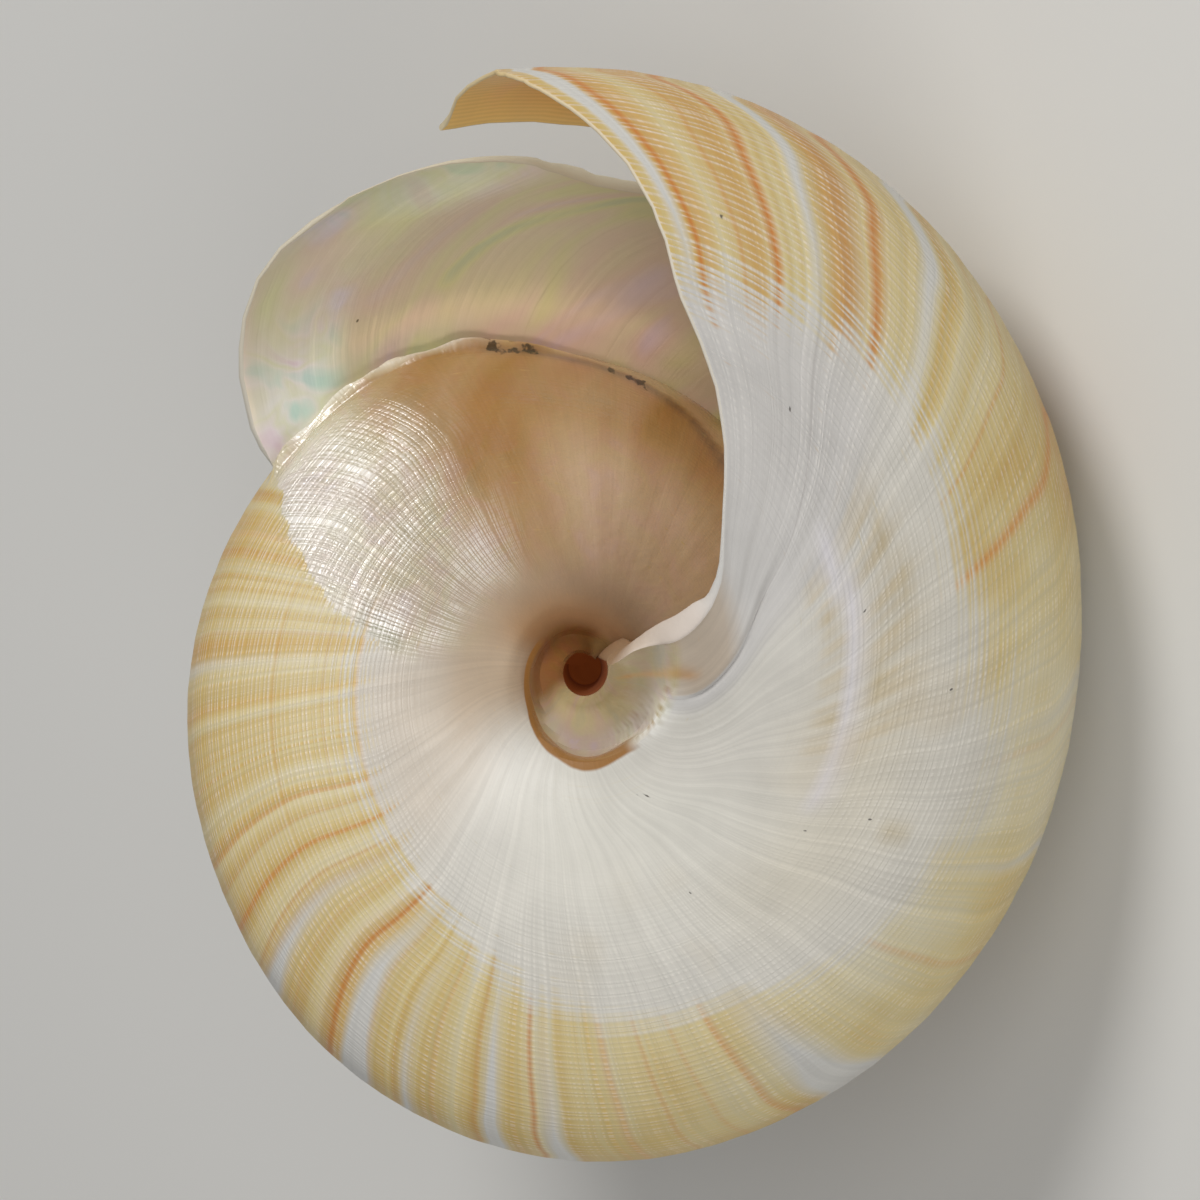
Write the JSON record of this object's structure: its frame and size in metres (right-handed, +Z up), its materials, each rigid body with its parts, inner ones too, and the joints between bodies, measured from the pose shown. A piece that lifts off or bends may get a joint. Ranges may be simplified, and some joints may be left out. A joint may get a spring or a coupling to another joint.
{
  "type": "slit shell",
  "caption": "Empty right-handed sea snail shell with a low cone of whorls, a pearly mouth and a long open slit in the outer lip, lying on its side.",
  "frame": {"origin": "centre of the bounding box, on the surface that the shell lies on", "axes": "+Z up; the shell lies on its spire, its base and mouth face -Y and up, and the hooked end of the lip points towards +X"},
  "size_m": [0.1118, 0.0862, 0.063],
  "materials": {
    "shell": "natural shell, cream and white with ochre and orange growth bands, satin outside and pearly inside"
  },
  "bodies": {
    "root": {"shell": "shell"}
  },
  "joints": []
}
